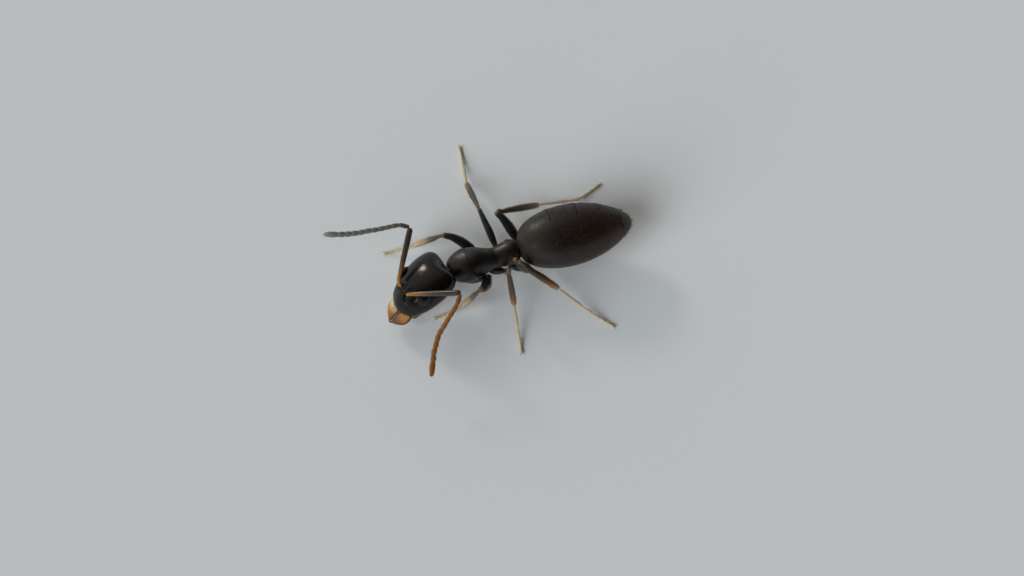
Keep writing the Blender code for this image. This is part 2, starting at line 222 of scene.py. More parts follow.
BLOTCH = 0.18  # width of the soft blotches in a plate's pigment
DRIFT = 0.10  # how far the blotches push a limb's colours along it, as a share of its length
NET_EDGE = 0.12  # a cell's sloping edge, as a share of it
NET_DEPTH = 0.0006  # depth of the net's lines
POLISHED, WORN = -0.05, 0.09  # how far roughness swings over the blotches
FLESH_REACH = (1.0, 0.55, 0.25)  # red light goes furthest through thin cuticle


def linear(code):
    """The linear colour of an sRGB hex value."""
    channels = [int(code[i:i + 2], 16) / 255 for i in (1, 3, 5)]
    return (*[c / 12.92 if c <= 0.04045 else ((c + 0.055) / 1.055) ** 2.4 for c in channels], 1.0)


def new_tree(kind, name):
    """An empty material or world and its node tree."""
    made = kind.new(name)
    made.use_nodes = True
    made.node_tree.nodes.clear()
    return made, made.node_tree


def add(tree, kind, settings=(), links=()):
    """One shader node, with its settings by name and its inputs linked from (node, output) pairs."""
    node = tree.nodes.new("ShaderNode" + kind)
    for name, value in dict(settings).items():
        if isinstance(name, int) or name in node.inputs:
            node.inputs[name].default_value = value
        else:
            setattr(node, name, value)
    for name, (source, output) in dict(links).items():
        tree.links.new(source.outputs[output], node.inputs[name])
    return node


def surface(tree, settings, links=()):
    """Ends a material with its shader."""
    shader = add(tree, "BsdfPrincipled", settings, links)
    add(tree, "OutputMaterial", links={"Surface": (shader, "BSDF")})


def ramp(tree, stops, source, output):
    """A colour ramp through (place, hex) stops."""
    node = add(tree, "ValToRGB", links={"Fac": (source, output)})
    band = node.color_ramp
    while len(band.elements) < len(stops):
        band.elements.new(0.5)
    for element, (place, code) in zip(band.elements, stops):
        element.position = place
        element.color = linear(code)
    return node


def cuticle(name, stops, roughness, net=0.011, relief=0.35, bloom=0.0, flesh=0.0, coat=0.25, shine=0.5,
            along=False):
    """Insect cuticle: hard chitin plates as they grow, polished by wax.

    stops are its colours, from dark to light over soft blotches, or from root to tip where along is set.
    net is the width of the cells of its microsculpture and relief how strongly they show. The real cells are
    about 0.006 wide, too fine to show, so they are drawn twice as coarse.
    bloom is the grey sheen of its finest hairs and flesh how far light goes through thin walls.
    coat is its layer of wax. shine is how strongly it mirrors: less where close hairs break the mirror up.
    """
    finish, tree = new_tree(bpy.data.materials, name)
    where = add(tree, "TexCoord")
    object_place = {"Vector": (where, "Object")}
    blotches = add(tree, "TexNoise", {"Scale": 1 / (BLOTCH * MM), "Detail": 3.0}, object_place)
    if along:
        share = add(tree, "Attribute", {"attribute_name": "along"})
        jitter = add(tree, "Math", {"operation": "MULTIPLY_ADD", 1: DRIFT, 2: -DRIFT / 2},
                     {0: (blotches, "Fac")})
        shifted = add(tree, "Math", {"operation": "ADD"}, {0: (share, "Fac"), 1: (jitter, "Value")})
        colour = ramp(tree, stops, shifted, "Value")
    else:
        colour = ramp(tree, stops, blotches, "Fac")
    cells = add(tree, "TexVoronoi", {"feature": "DISTANCE_TO_EDGE", "Scale": 1 / (net * MM)}, object_place)
    edges = add(tree, "MapRange", {"From Max": NET_EDGE}, {"Value": (cells, "Distance")})
    grain = add(tree, "Bump", {"Strength": relief, "Distance": NET_DEPTH * MM}, {"Height": (edges, "Result")})
    wear = add(tree, "MapRange", {"To Min": roughness + POLISHED, "To Max": roughness + WORN},
               {"Value": (blotches, "Fac")})
    surface(tree, {
        "IOR": 1.56, "Specular IOR Level": shine, "Coat Weight": coat, "Coat Roughness": 0.10,
        "Sheen Weight": bloom, "Sheen Roughness": 0.45, "Sheen Tint": linear("#c9c4ba"),
        "Subsurface Weight": flesh, "Subsurface Scale": 0.05 * MM, "Subsurface Radius": FLESH_REACH,
    }, {"Base Color": (colour, "Color"), "Roughness": (wear, "Result"), "Normal": (grain, "Normal")})
    return finish


def seta_finish(name, root, tip):
    """A seta: a fine tube of clear chitin, coloured from its root to its tip."""
    finish, tree = new_tree(bpy.data.materials, name)
    share = add(tree, "Attribute", {"attribute_name": "along"})
    colour = ramp(tree, ((0.0, root), (1.0, tip)), share, "Fac")
    surface(tree, {"IOR": 1.55, "Roughness": 0.62}, {"Base Color": (colour, "Color")})
    return finish


# ---- the finishes of this ant

# Thick chitin tanned black, grown smooth and waxed: near black gloss with one small sharp highlight.
HEAD_CHITIN = cuticle("head_chitin", ((0.25, "#0b0908"), (0.75, "#15100d")), 0.15, net=0.013, relief=0.16,
                      coat=0.10, shine=0.28)
# The same chitin grown with a close net of lines: black satin with broad soft highlights.
TRUNK_CHITIN = cuticle("trunk_chitin", ((0.25, "#0b0907"), (0.75, "#17110c")), 0.36, net=0.012, relief=0.45,
                       bloom=0.02, coat=0.08)
# Thin flexible chitin of the neck: dull, with a maroon tinge where it is stretched.
NECK_MEMBRANE = cuticle("neck_membrane", ((0.3, "#1c0e0b"), (0.8, "#32191a")), 0.42, relief=0.3)
# Thin stretched plates under a close coat: silky, red brown behind, pale brown rims. The lighter smoky grey
# in front is partly the coat's own grey and partly painted sheen where the window's reflection lies.
GASTER_CHITIN = cuticle(
    "gaster_chitin", ((0.0, "#2b2723"), (0.16, "#25201c"), (0.32, "#160f0c"), (0.55, "#1d0e08"),
        (0.90, "#2a150b"), (1.0, "#5e3c20")),
    0.38, net=0.014, relief=0.30, bloom=0.05, coat=0.05, shine=0.34, along=True)
# Hard chitin of the hips: brown black, smooth and softly shining.
COXA_CHITIN = cuticle("coxa_chitin", ((0.0, "#17120e"), (0.8, "#221a12")), 0.34, relief=0.4)
# Hard chitin of the thighs: black along the shaft, with paler brown joints at both ends.
FEMUR_CHITIN = cuticle(
    "femur_chitin", ((0.0, "#6e4d36"), (0.15, "#5c4130"), (0.27, "#1f1a17"), (0.4, "#121316"),
        (0.85, "#17181a"), (0.95, "#33281d"), (1.0, "#6a5138")), 0.32, along=True)
# Thinner chitin of the shins: dark brown shading to translucent amber brown at the foot.
TIBIA_CHITIN = cuticle(
    "tibia_chitin", ((0.0, "#785b3c"), (0.07, "#553d26"), (0.20, "#38291a"), (0.62, "#4d361e"),
        (0.86, "#805729"), (1.0, "#a98350")), 0.34, flesh=0.05, along=True)
# The front shins, hardly tanned in their outer half: grey brown shading to translucent straw.
PALE_TIBIA_CHITIN = cuticle(
    "pale_tibia_chitin", ((0.0, "#6e5a40"), (0.10, "#45403a"), (0.40, "#5a5146"), (0.62, "#a68f66"),
        (1.0, "#c2ab80")), 0.34, flesh=0.05, along=True)
# The feet, thin and untanned: yellowish white and dull, with light showing through.
TARSUS_CHITIN = cuticle(
    "tarsus_chitin", ((0.0, "#b39a70"), (0.45, "#c4b692"), (0.8, "#c2b189"), (1.0, "#ad9261")), 0.38,
    relief=0.2, flesh=0.10, along=True)
# The long first joint of a feeler: amber at the socket, near black at the elbow.
SCAPE_CHITIN = cuticle(
    "scape_chitin", ((0.0, "#a8712f"), (0.22, "#8a5f2e"), (0.46, "#45382a"), (0.75, "#2c2722"),
        (1.0, "#3a2a1c")), 0.33, flesh=0.04, along=True)
# The beads of the left feeler: translucent amber, dulled by the feeler's down.
AMBER_FUNICULUS_CHITIN = cuticle(
    "amber_funiculus_chitin", ((0.0, "#6e4312"), (0.3, "#8c5611"), (0.75, "#7f4b0e"), (1.0, "#74461a")),
    0.42, bloom=0.05, flesh=0.06, along=True)
# The beads of the right feeler: grey under the same down.
DARK_FUNICULUS_CHITIN = cuticle(
    "dark_funiculus_chitin", ((0.0, "#40362b"), (0.25, "#585450"), (0.8, "#62605b"), (1.0, "#7d7a74")),
    0.38, bloom=0.15, along=True)
# Hard glossy chitin of the jaws: orange in the blade, dark red brown at the teeth. Its cream end is used as a
# painted highlight at the right jaw's root, and its dark red brown along the outer rim as painted shade.
JAW_CHITIN = cuticle(
    "jaw_chitin", ((0.0, "#d0c4a6"), (0.10, "#c9b48c"), (0.30, "#a9743a"), (0.52, "#8c5723"),
        (0.74, "#5f3a1c"), (1.0, "#35190b")), 0.26, relief=0.15, coat=0.4, flesh=0.08, along=True)
# Soft thin chitin of the palps: mid brown and dull, with light showing through.
PALP_CHITIN = cuticle("palp_chitin", ((0.2, "#6b4c2c"), (0.8, "#8a6a44")), 0.4, relief=0.15, flesh=0.08)
# Clear chitin lenses over black pigment: black, with their gloss spread by the many domes.
EYE_LENS = cuticle("eye_lens", ((0.3, "#0a0908"), (0.8, "#16120f")), 0.27, relief=0.0, coat=0.08, shine=0.30)
# Hairs of clear chitin: a pale grey brown bloom over dark plates.
SETA = seta_finish("seta", "#241e18", "#5d5549")
# The head's finer hairs, tanned dark: they dull the black gloss a little without lightening it.
DARK_SETA = seta_finish("dark_seta", "#100d0b", "#2c2722")


# ---- making plates and limbs

def plate_from(node, levels=2, soften=0.0):
    """A plate of the shell: its solid merged, made of squares again and rounded.

    Its cut rims are kept sharp, or where soften is set they are rounded that wide.
    """
    piece = new_object(node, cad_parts[node].data.copy())
    open_mesh(piece)
    bpy.ops.mesh.remove_doubles(threshold=0.001 * MM)
    bpy.ops.mesh.tris_convert_to_quads(face_threshold=math.radians(60), shape_threshold=math.radians(80))
    bpy.ops.mesh.customdata_custom_splitnormals_clear()
    bpy.ops.mesh.mark_sharp(clear=True)
    if soften:
        modify(piece, "BEVEL", width=soften * MM, segments=3, limit_method="ANGLE",
               angle_limit=math.radians(40))
    else:
        bpy.ops.mesh.select_all(action="DESELECT")
        bpy.ops.mesh.select_mode(type="EDGE")
        bpy.ops.mesh.edges_select_sharp(sharpness=math.radians(45))
        bpy.ops.transform.edge_crease(value=0.9)
    modify(piece, "SUBSURF", levels=levels)
    return piece


def carve(piece, path, width, depth):
    """Sinks the surface along a path, or raises it where depth is negative."""
    places = points_of(piece)
    path = [np.array(point) for point in path]
    if len(path) == 1:
        away = np.linalg.norm(places - path[0], axis=1)
    else:
        away = np.full(len(places), np.inf)
        for start, end in zip(path, path[1:]):
            run = end - start
            share = np.clip((places - start) @ run / (run @ run), 0, 1)
            away = np.minimum(away, np.linalg.norm(places - start - share[:, None] * run, axis=1))
    fall = np.clip(1 - (away / (width * MM)) ** 2, 0, 1) ** 2
    put_points(piece, places - normals_of(piece) * (fall * depth * MM)[:, None])


def on_surface(piece, point):
    """The nearest place on the piece and the direction out of it there."""
    return piece.closest_point_on_mesh(point)[1:3]


def carve_on(piece, points, width, depth):
    """Carves along points first brought onto the surface."""
    carve(piece, [on_surface(piece, point)[0] for point in points], width, depth)


def ring_at(place, normal, radius, thickness, squash=1.0):
    """A small raised ring on the surface, as round a socket or a breathing hole."""
    ring = primitive("torus", major_segments=24, minor_segments=8, major_radius=radius * MM,
                     minor_radius=thickness * MM)
    ring.scale = (1, squash, 1)
    ring.rotation_euler = normal.to_track_quat("Z", "Y").to_euler()
    ring.location = place
    settle(ring)
    return ring


def finish_with(plate, rings, name, node, finish):
    """Joins the rings to their plate and finishes it."""
    for ring in rings:
        outward(ring)
    finish_piece(join([plate, *rings]), name, [node], finish)


def turned_stick(rings, sides=16):
    """A stick along +X, drawn out of a circle ring by ring through (place, radius) pairs."""
    place, radius = rings[0]
    stick = primitive("circle", vertices=sides, radius=radius, fill_type="NGON", location=(place, 0, 0),
                      rotation=(0, math.pi / 2, 0))
    settle(stick)
    open_mesh(stick, "FACE")
    for (start, width), (end, next_width) in zip(rings, rings[1:]):
        bpy.ops.mesh.extrude_region_move(TRANSFORM_OT_translate={"value": (end - start, 0, 0)})
        ratio = next_width / width
        bpy.ops.transform.resize(value=(1, ratio, ratio), center_override=(end, 0, 0))
    outward(stick)
    return stick


def bent(master, line, radius):
    """A copy of a master stick, made that thick and laid along the line, with each point's share of the way.

    It is bent while a thousand times larger, as the finest pieces are too small for a curve.
    """
    piece = new_object("bent", master.data.copy())
    places = points_of(piece)
    low, high = places[:, 0].min(), places[:, 0].max()
    put_along(piece, (places[:, 0] - low) / (high - low))
    length = sum((after - before).length for before, after in zip(line, line[1:]))
    put_points(piece, places * (length / MM, radius / MM, radius / MM))
    curve = bpy.data.curves.new("course", "CURVE")
    curve.dimensions = "3D"
    curve.twist_mode = "MINIMUM"
    curve.resolution_u = 6
    spline = curve.splines.new("BEZIER")
    spline.bezier_points.add(len(line) - 1)
    for knot, point in zip(spline.bezier_points, line):
        knot.co = point / MM
        knot.handle_left_type = knot.handle_right_type = "AUTO"
    course = new_object("course", curve)
    modify(piece, "CURVE", object=course, deform_axis="POS_X")
    discard(course)
    put_points(piece, points_of(piece) * MM)
    return piece


HORN_SIDES, HORN_RINGS, HORN_TAPER = 6, 5, 1.6
HORN_POINT = 0.06  # its point's radius, as a share of its root's


def horn(root, tip, radius, bow=Vector()):
    """A thin curved spine from root to tip: a spur, a claw or a tooth."""
    shares = [number / HORN_RINGS for number in range(HORN_RINGS + 1)]
    stick = turned_stick([(share, max(HORN_POINT, 1 - share ** HORN_TAPER)) for share in shares], HORN_SIDES)
    line = [root.lerp(tip, share) + bow * math.sin(math.pi * share) for share in shares]
    spine = bent(stick, line, radius)
    discard(stick)
    return spine


# ---- directions of the head

JAW_DIP = math.radians(20.7)  # how far the jaws lie below the face, seen from the eyes


def head_axes():
    """The place between the eyes, and the head's left, forward and upward directions, from its solids."""
    left_eye, right_eye = middle_of("eye_left"), middle_of("eye_right")
    between = (left_eye + right_eye) / 2
    left = (left_eye - right_eye).normalized()
    jaws = (middle_of("mandible_left") + middle_of("mandible_right")) / 2
    ahead = jaws - between
    ahead = (ahead - left * ahead.dot(left)).normalized()
    forward = Matrix.Rotation(-JAW_DIP, 3, left) @ ahead
    return between, left, forward, forward.cross(left)


BETWEEN_EYES, HEAD_LEFT, HEAD_FORWARD, HEAD_UP = head_axes()


def on_head(left, forward, up):
    """A place given in millimetres from between the eyes."""
    return BETWEEN_EYES + (HEAD_LEFT * left + HEAD_FORWARD * forward + HEAD_UP * up) * MM


def along_head(places, *directions):
    """How far places lie from between the eyes in each direction of the head, in millimetres."""
    return [(places - np.array(BETWEEN_EYES)) @ np.array(direction) / MM for direction in directions]


def carve_down(piece, points, width, depth, toward=-1):
    """Carves along points first brought down onto the head or a jaw, or up where toward is 1."""
    found = [piece.ray_cast(point, HEAD_UP * toward) for point in points]
    carve(piece, [place for hit, place, normal, face in found if hit], width, depth)


# ---- head

ABOVE_HEAD, BELOW_HEAD = 0.3, -0.5  # where lines start before they are laid on it
CLYPEUS_EDGE = ((-0.118, 0.200), (-0.085, 0.163), (-0.045, 0.130), (0.0, 0.119), (0.045, 0.130),
                (0.085, 0.163), (0.118, 0.200))  # the shield over the mouth: left, forward
LIP_HALF_WIDTH, LIP_REACH = 0.13, 0.026  # of its lip
SOCKET_DEPTH = 0.010  # how far inside the head a feeler starts
RIM_THICKNESS = 0.006
FRONTAL_RIDGE = ((0.046, 0.03), (0.040, -0.08))  # inward of the socket, forward


def make_head():
    """The capsule, with the grooves of its face, the sockets of the feelers and the shield over the mouth."""
    head = plate_from("head", levels=3)
    edge = [on_head(left, forward, ABOVE_HEAD) for left, forward in CLYPEUS_EDGE]
    carve_down(head, edge, width=0.016, depth=0.006)
    shield = [on_head(0, 0.215, ABOVE_HEAD)]
    carve_down(head, shield, width=0.10, depth=-0.008)
    face_line = [on_head(0, forward, ABOVE_HEAD) for forward in (0.10, -0.16)]
    carve_down(head, face_line, width=0.012, depth=0.0015)
    throat_line = [on_head(0, forward, BELOW_HEAD) for forward in (0.13, -0.17)]
    carve_down(head, throat_line, width=0.014, depth=0.005, toward=1)
    places = points_of(head)
    across, ahead, above = along_head(places, HEAD_LEFT, HEAD_FORWARD, HEAD_UP)
    reach = fade(ahead, start=0.22, over=0.07) ** 2 * np.clip(1 - (across / LIP_HALF_WIDTH) ** 2, 0, 1)
    reach *= fade(above, start=-0.17, over=0.05) * LIP_REACH
    put_points(head, places + np.array(HEAD_FORWARD) * (reach * MM)[:, None])
    rims = []
    for side in SIDES:
        inward = HEAD_LEFT * -SIDES[side]
        line, radii = course_of("scape_" + side, "head")
        place, normal = on_surface(head, line[0])
        SOCKETS[side] = place - normal * SOCKET_DEPTH * MM
        carve(head, [place], width=0.060, depth=0.016)
        ridge = [place + (inward * across + HEAD_FORWARD * forward) * MM for across, forward in FRONTAL_RIDGE]
        carve_on(head, ridge, width=0.022, depth=-0.005)
        carve_on(head, [middle_of("eye_" + side)], width=0.090, depth=0.001)
        place -= normal * RIM_THICKNESS * MM
        rims.append(ring_at(place, normal, radius=0.036, thickness=RIM_THICKNESS))
    finish_with(head, rims, "head_capsule", "head", HEAD_CHITIN)


LENS_HEIGHT = 0.030  # of each dome, as a share of the eye's radius
EYE_SIZE = (0.052, 0.082, 0.068)
EYE_INSET = 0.030  # how far its ball's middle is inside the solid's
EYE_LEAN = math.radians(-24)
EYE_ROOT = 0.032  # how far the ball goes on into the head


def make_eye(side):
    """A compound eye: some five hundred lenses, each a low dome, on an oval ball set into the head."""
    outside = HEAD_LEFT * SIDES[side]
    coarse = primitive("ico_sphere", subdivisions=4, radius=1)
    lenses = points_of(coarse)
    discard(coarse)
    eye = primitive("ico_sphere", subdivisions=6, radius=1)
    places = points_of(eye)
    nearest = np.linalg.norm(places[:, None] - lenses, axis=2).min(axis=1)
    dome = 1 + LENS_HEIGHT * (1 - (nearest / nearest.max()) ** 2)
    put_points(eye, places * dome[:, None])
    middle = middle_of("eye_" + side) - outside * EYE_INSET * MM
    lean = Matrix.Rotation(EYE_LEAN * SIDES[side], 3, "Y")
    turn = Matrix((HEAD_LEFT, -HEAD_FORWARD, HEAD_UP)).transposed() @ lean
    scale = Matrix.Diagonal(Vector(EYE_SIZE) * MM)
    eye.matrix_world = Matrix.Translation(middle) @ (turn @ scale).to_4x4()
    settle(eye)
    open_mesh(eye)
    bpy.ops.mesh.bisect(plane_co=middle - outside * EYE_ROOT * MM, plane_no=outside, clear_inner=True,
                        use_fill=True, threshold=0.00001 * MM)
    outward(eye)
    finish_piece(eye, "compound_eye_" + side, ["eye_" + side], EYE_LENS, angle=DOME_ANGLE)


# ---- mouth

JAW_OUTLINE = ((0.235, 0.100, 0.160), (0.250, 0.050, 0.172), (0.268, 0.020, 0.181), (0.288, 0.012, 0.186),
               (0.310, 0.011, 0.187), (0.332, 0.011, 0.183), (0.354, 0.011, 0.173), (0.376, 0.011, 0.157),
               (0.397, 0.011, 0.135), (0.416, 0.010, 0.108), (0.432, 0.007, 0.080), (0.445, 0.004, 0.054),
               (0.456, 0.001, 0.030), (0.463, -0.002, 0.010))  # forward, inner edge, outer edge
JAW_SIDES = 32
JAW_TOP, JAW_BOTTOM = 0.036, 0.020  # how thick it is above and below the blade's middle
JAW_THIN = 0.45  # and at the inner edge, as a share of the outer
JAW_NARROW = (0.10, 0.15)  # the blade thins where it is narrower than this, down to this share
JAW_LEVEL, JAW_DROOP = -0.129, -0.012  # height of its root, and of its tip from there
JAW_LINES = (0.22, 0.38, 0.54, 0.70)  # fine grooves, as shares of the way across the blade
JAW_MARGIN = 0.013  # how far inside the outer edge its groove runs
ABOVE_JAW = 0.1
# The right jaw's root sits at the cream end of the ramp as a painted highlight; the left jaw's root is
# orange.
JAW_ROOT_TONE_AND_HIGHLIGHT = {"left": 0.33, "right": 0.02}  # places on the colour ramp
# The rim's share is painted shade: darker along the outer edge and on the faces that look down.
JAW_TIP_BLUSH, JAW_EDGE_BLUSH, JAW_PAINTED_RIM_SHADE = 0.40, 0.20, 0.55  # what each adds to it
JAW_DARKEST = 0.85
TEETH = 9
TEETH_START = {"left": 0.25, "right": 0.75}  # the two rows interlock
TOOTH_ROOT = ((0.018, 0.305, -0.122), (0.130, -0.012))  # of the first, and on to the last forward and up
TOOTH_TIP = ((-0.006, 0.313, -0.124), (0.132, -0.013))
TOOTH_RADIUS = 0.0072
FANG = ((0.024, 0.440, -0.137), (-0.002, 0.474, -0.148))  # root and tip of the last tooth
FANG_RADIUS, FANG_BOW = 0.012, 0.006
TOOTH_SHADE = 0.74


def shade_jaw(blade, side):
    """Colours a jaw along its ramp: paler at the root, brown at the tip and inner edge. The right jaw's cream
    root is a painted highlight, and the darkening along the outer rim and on the faces that look down is
    painted shade.
    """
    away, ahead = along_head(points_of(blade), HEAD_LEFT * SIDES[side], HEAD_FORWARD)
    outer = np.interp(ahead, *zip(*[(forward, outer) for forward, inner, outer in JAW_OUTLINE]))
    top = normals_of(blade) @ np.array(HEAD_UP)
    blush = fade(ahead, start=0.315, over=0.10) * JAW_TIP_BLUSH
    blush += fade(away, start=0.05, over=-0.05) * JAW_EDGE_BLUSH
    # Painted shade: the outer edge and the downward faces are pushed towards the dark end of the ramp.
    painted_rim_shade = 1 - fade(outer - away, start=0, over=0.022) * fade(top, start=-0.1, over=0.6)
    put_along(blade, np.clip(JAW_ROOT_TONE_AND_HIGHLIGHT[side] + blush + painted_rim_shade * JAW_PAINTED_RIM_SHADE, 0, JAW_DARKEST))


def teeth_of(side):
    """The row of teeth along a jaw's inner edge, with the longest at its end."""
    sign = SIDES[side]
    for index in range(TEETH):
        share = (index + TEETH_START[side]) / TEETH
        root, tip = (on_head(sign * left, forward + ahead * share, up + rise * share)
                     for (left, forward, up), (ahead, rise) in (TOOTH_ROOT, TOOTH_TIP))
        yield horn(root, tip, TOOTH_RADIUS * MM)
    root, tip = (on_head(sign * left, forward, up) for left, forward, up in FANG)
    yield horn(root, tip, FANG_RADIUS * MM, HEAD_FORWARD * FANG_BOW * MM)


def make_jaw(side):
    """A mandible: a three-sided blade, swollen outside and thin at its toothed inner edge."""
    sign = SIDES[side]
    last = len(JAW_OUTLINE) - 1
    blade = turned_stick([(index / last, 1.0) for index in range(last + 1)], JAW_SIDES)
    shape = points_of(blade)
    forward, inner, outer = (np.interp(shape[:, 0] * last, range(last + 1), row) for row in zip(*JAW_OUTLINE))
    across = (1 + shape[:, 1]) / 2
    away = inner + (outer - inner) * across
    width, least = JAW_NARROW
    narrow = np.clip((outer - inner) / width, least, 1)
    thick = np.where(shape[:, 2] > 0, JAW_TOP, JAW_BOTTOM) * (JAW_THIN + (1 - JAW_THIN) * across) * narrow
    up = JAW_LEVEL + JAW_DROOP * shape[:, 0] + thick * shape[:, 2]
    put_points(blade, np.array([on_head(sign * place[0], *place[1:]) for place in zip(away, forward, up)]))
    outward(blade)
    modify(blade, "SUBSURF", levels=2)
    for line in JAW_LINES:
        course = [on_head(sign * (inner + (outer - inner) * line), forward, ABOVE_JAW)
                  for forward, inner, outer in JAW_OUTLINE[5:12]]
        carve_down(blade, course, width=0.0055, depth=0.0020)
    margin = [on_head(sign * (outer - JAW_MARGIN), forward, ABOVE_JAW)
              for forward, inner, outer in JAW_OUTLINE[3:11]]
    carve_down(blade, margin, width=0.009, depth=0.0035)
    shade_jaw(blade, side)
    teeth = list(teeth_of(side))
    for tooth in teeth:
        along = tooth.data.attributes["along"].data
        along.foreach_set("value", TOOTH_SHADE + (1 - TOOTH_SHADE) * read(along, "value"))
    finish_piece(join([blade, *teeth]), "jaw_" + side, ["mandible_" + side], JAW_CHITIN)


def make_mouth():
    for side in SIDES:
        make_jaw(side)
        for kind in ("maxillary_palp_", "labial_palp_"):
            palp = plate_from(kind + side, soften=0.006)
            finish_piece(palp, kind + side + "_fine", [kind + side], PALP_CHITIN)


# ---- trunk

BESIDE_TRUNK = 0.3  # how far out lines start before they are laid on a plate
HOLE_RISE = 0.005  # how far the rear breathing hole stands out


def make_trunk():
    """The plates of the trunk with their grooves and breathing holes, the neck and the petiole."""
    pronotum = plate_from("pronotum")
    low, high, middle = box_of("pronotum")
    collar = Vector((middle.x, low.y, middle.z)) + Vector((0, 0.07, 0.12)) * MM
    carve(pronotum, [collar], width=0.09, depth=0.004)
    finish_piece(pronotum, "pronotum_plate", ["pronotum"], TRUNK_CHITIN)

    mesothorax = plate_from("mesothorax", levels=3)
    low, high, middle = box_of("mesothorax")
    holes = []
    for sign in (1, -1):
        beside = middle.x + sign * BESIDE_TRUNK * MM
        wing_line = ((beside, low.y + 0.12 * MM, middle.z + 0.02 * MM),
                     (beside, high.y - 0.02 * MM, middle.z + 0.05 * MM))
        carve_on(mesothorax, wing_line, width=0.016, depth=0.006)
        leg_line = (beside, high.y - 0.09 * MM, middle.z + 0.1 * MM), (beside, high.y - 0.10 * MM, low.z)
        carve_on(mesothorax, leg_line, width=0.014, depth=0.005)
        hole = (middle.x + sign * 0.05 * MM, high.y - 0.035 * MM, high.z)
        holes.append(ring_at(*on_surface(mesothorax, hole), radius=0.010, thickness=0.0035))
    finish_with(mesothorax, holes, "mesothorax_plate", "mesothorax", TRUNK_CHITIN)

    propodeum = plate_from("propodeum", levels=3)
    low, high, middle = box_of("propodeum")
    holes = []
    for sign in (1, -1):
        beside = middle.x + sign * BESIDE_TRUNK * MM
        hole = (beside, middle.y + 0.03 * MM, middle.z + 0.10 * MM)
        place, normal = on_surface(propodeum, hole)
        carve(propodeum, [place], width=0.022, depth=-0.006)
        place += normal * HOLE_RISE * MM
        holes.append(ring_at(place, normal, radius=0.012, thickness=0.004, squash=0.8))
        side_line = (beside, low.y, middle.z - 0.03 * MM), (beside, high.y, middle.z - 0.06 * MM)
        carve_on(propodeum, side_line, width=0.014, depth=0.006)
        rear_lobe = (beside, high.y - 0.05 * MM, low.z + 0.04 * MM)
        carve_on(propodeum, [rear_lobe], width=0.04, depth=-0.007)
    finish_with(propodeum, holes, "propodeum_plate", "propodeum", TRUNK_CHITIN)

    finish_piece(plate_from("neck"), "neck_tube", ["neck"], NECK_MEMBRANE)
    finish_piece(plate_from("petiole"), "petiole_node", ["petiole"], TRUNK_CHITIN)


# ---- gaster

GASTER_NODES = ["gaster_segment_%d" % number for number in range(1, 6)]
PLATE_LIP = 0.004  # how far a plate's front dips under the rim before it
RIM_LIFT = 0.6  # how far that rim rises, as a share of the lip
TUCK = 2.5  # how far the front reaches forward under it, as a share of the lip
RIM_LENGTH, FRONT_LENGTH = 0.06, 0.030  # over what length they rise and dip
SHELL = 0.6  # points nearer the axis than this share of the radius are in a plate's ends
BELLY_LINE = 0.30  # how far below the middle the side line runs, as a share of the height
BESIDE_GASTER = 0.5
PALE_EDGE = 0.014  # how wide the thin brown rim of a plate is
EDGE_SHADE = 0.95  # its place on the colour ramp


def make_gaster():
    """Five plates, each with its rear rim raised over the front of the next and a line along its side."""
    start, end = box_of(GASTER_NODES[0])[0].y, box_of(GASTER_NODES[-1])[1].y
    for number, node in enumerate(GASTER_NODES, 1):
        first, last = number == 1, number == len(GASTER_NODES)
        plate = plate_from(node, levels=3)
        low, high, middle = box_of(node)
        places = points_of(plate)
        out = places - np.array((middle.x, 0, middle.z))
        out[:, 1] = 0
        reach = np.linalg.norm(out, axis=1, keepdims=True)
        out = out / np.maximum(reach, 0.001 * MM)
        to_rear = np.clip(1 - (high.y - places[:, 1]) / (RIM_LENGTH * MM), 0, 1)
        to_front = np.clip(1 - (places[:, 1] - low.y) / (FRONT_LENGTH * MM), 0, 1)
        lift = np.zeros(len(places))
        if not last:
            lift += PLATE_LIP * RIM_LIFT * to_rear ** 2
        if not first:
            lift -= PLATE_LIP * to_front
        shell = reach[:, 0] > SHELL * reach.max()
        places = places + out * (lift * shell * MM)[:, None]
        if not first:
            places[:, 1] -= to_front * shell * PLATE_LIP * TUCK * MM
        put_points(plate, places)
        belly = middle.z - BELLY_LINE * (high.z - low.z)
        for sign in (1, -1):
            beside = middle.x + sign * BESIDE_GASTER * MM
            carve_on(plate, [(beside, low.y, belly), (beside, high.y, belly)], width=0.018, depth=0.007)
        rear = points_of(plate)[:, 1]
        share = (rear - start) / (end - start)
        if not last:
            edge = np.clip(1 - (high.y - rear) / (PALE_EDGE * MM), 0, 1)
            share += (EDGE_SHADE - share) * edge
        put_along(plate, share)
        finish_piece(plate, "gaster_plate_%d" % number, [node], GASTER_CHITIN)


# ---- legs and feelers

# Outlines are (share of the length from the root, share of the greatest radius) pairs.
FEMUR_OUTLINE = ((0.0, 0.40), (0.02, 0.54), (0.055, 0.64), (0.095, 0.60), (0.125, 0.46), (0.145, 0.43),
                 (0.165, 0.56), (0.21, 0.76), (0.28, 0.91), (0.40, 0.99), (0.50, 1.0), (0.64, 0.90),
                 (0.78, 0.75), (0.88, 0.63), (0.93, 0.61), (0.97, 0.58), (0.99, 0.44), (1.0, 0.30))
TIBIA_OUTLINE = ((0.0, 0.34), (0.015, 0.54), (0.045, 0.64), (0.075, 0.56), (0.10, 0.56), (0.15, 0.66),
                 (0.25, 0.78), (0.42, 0.92), (0.60, 1.0), (0.76, 0.98), (0.88, 0.90), (0.95, 0.82),
                 (0.985, 0.70), (1.0, 0.40))
SCAPE_OUTLINE = ((0.0, 0.42), (0.02, 0.66), (0.045, 0.70), (0.07, 0.52), (0.095, 0.56), (0.14, 0.70),
                 (0.30, 0.84), (0.55, 1.0), (0.80, 1.05), (0.92, 1.06), (0.965, 0.98), (0.99, 0.74),
                 (1.0, 0.40))
